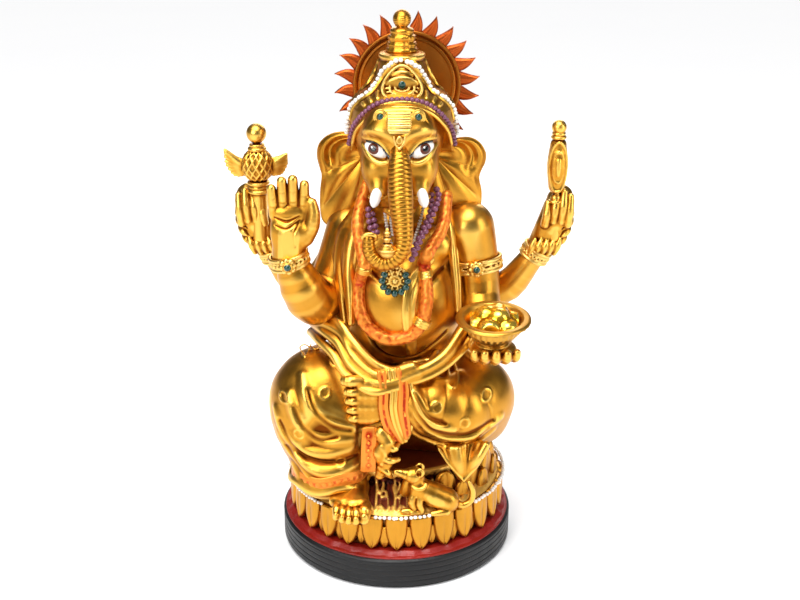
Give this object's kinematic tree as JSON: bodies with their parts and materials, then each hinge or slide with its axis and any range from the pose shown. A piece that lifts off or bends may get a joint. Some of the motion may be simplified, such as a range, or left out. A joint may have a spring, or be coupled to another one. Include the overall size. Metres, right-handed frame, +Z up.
{
  "type": "seated elephant-headed deity statue",
  "caption": "Seated four-armed elephant-headed devotional statue with a rayed halo on a round double lotus base.",
  "frame": {"origin": "centre of the underside of the base", "axes": "+Z up, the figure faces -Y, its right hand towards -X"},
  "size_m": [0.1877, 0.142, 0.3015],
  "materials": {
    "felt_pad": "matte black felt",
    "black_plinth": "satin black lacquer with faint turned grooves",
    "red_enamel": "dark red enamel paint",
    "gold_paint": "satin metallic gold paint over cast resin, darker in the creases",
    "pale_gold_paint": "pale metallic gold paint over cast resin",
    "copper_paint": "metallic copper-orange paint over cast resin",
    "orange_enamel": "orange-red enamel brushed over gold",
    "white_pearl": "white pearl bead",
    "ivory_paint": "glossy white paint",
    "purple_bead": "dark purple bead",
    "green_gem": "dark green glossy gem paint",
    "silver_bead": "silver-white bead",
    "eye_enamel": "white eye with a dark brown iris, glossy",
    "yellow_sweet": "yellow-gold lacquer"
  },
  "bodies": {
    "root": {"ankle_bands": "orange_enamel", "arm_bands": "gold_paint", "base_pad": "felt_pad", "base_pearls": "white_pearl", "bowl": "gold_paint", "brow_studs": "green_gem", "chest_sash": "gold_paint", "cloth_tail": "gold_paint", "crown": "gold_paint", "crown_gem": "green_gem", "crown_medallion": "gold_paint", "crown_pearls": "white_pearl", "crown_purple_beads": "purple_bead", "eyes": "eye_enamel", "finial": "pale_gold_paint", "front_left_arm": "gold_paint", "front_left_hand": "gold_paint", "front_pleat": "gold_paint", "front_right_arm": "gold_paint", "front_right_hand": "gold_paint", "garland": "orange_enamel", "goad": "pale_gold_paint", "halo_disc": "copper_paint", "halo_rays": "copper_paint", "hanging_border_band": "orange_enamel", "head": "gold_paint", "hips_drape": "gold_paint", "left_ear": "gold_paint", "left_foot": "gold_paint", "left_leg_drape": "gold_paint", "lower_drum": "gold_paint", "lower_petals": "gold_paint", "mace": "pale_gold_paint", "mouse": "gold_paint", "pendant": "gold_paint", "pendant_stones": "green_gem", "plinth": "black_plinth", "purple_mala": "purple_bead", "rear_left_arm": "gold_paint", "rear_left_hand": "gold_paint", "rear_right_arm": "gold_paint", "rear_right_hand": "gold_paint", "red_base_disc": "red_enamel", "right_ear": "gold_paint", "right_foot": "gold_paint", "right_hem_band": "orange_enamel", "right_leg_drape": "gold_paint", "shawl_ends": "gold_paint", "silver_chains": "silver_bead", "small_petals": "gold_paint", "sweet_pot": "gold_paint", "sweets": "yellow_sweet", "tilak": "gold_paint", "torso": "gold_paint", "trunk": "gold_paint", "tusks": "ivory_paint", "upper_drum": "gold_paint", "upper_petals": "gold_paint", "waist_sash": "gold_paint"}
  },
  "joints": []
}
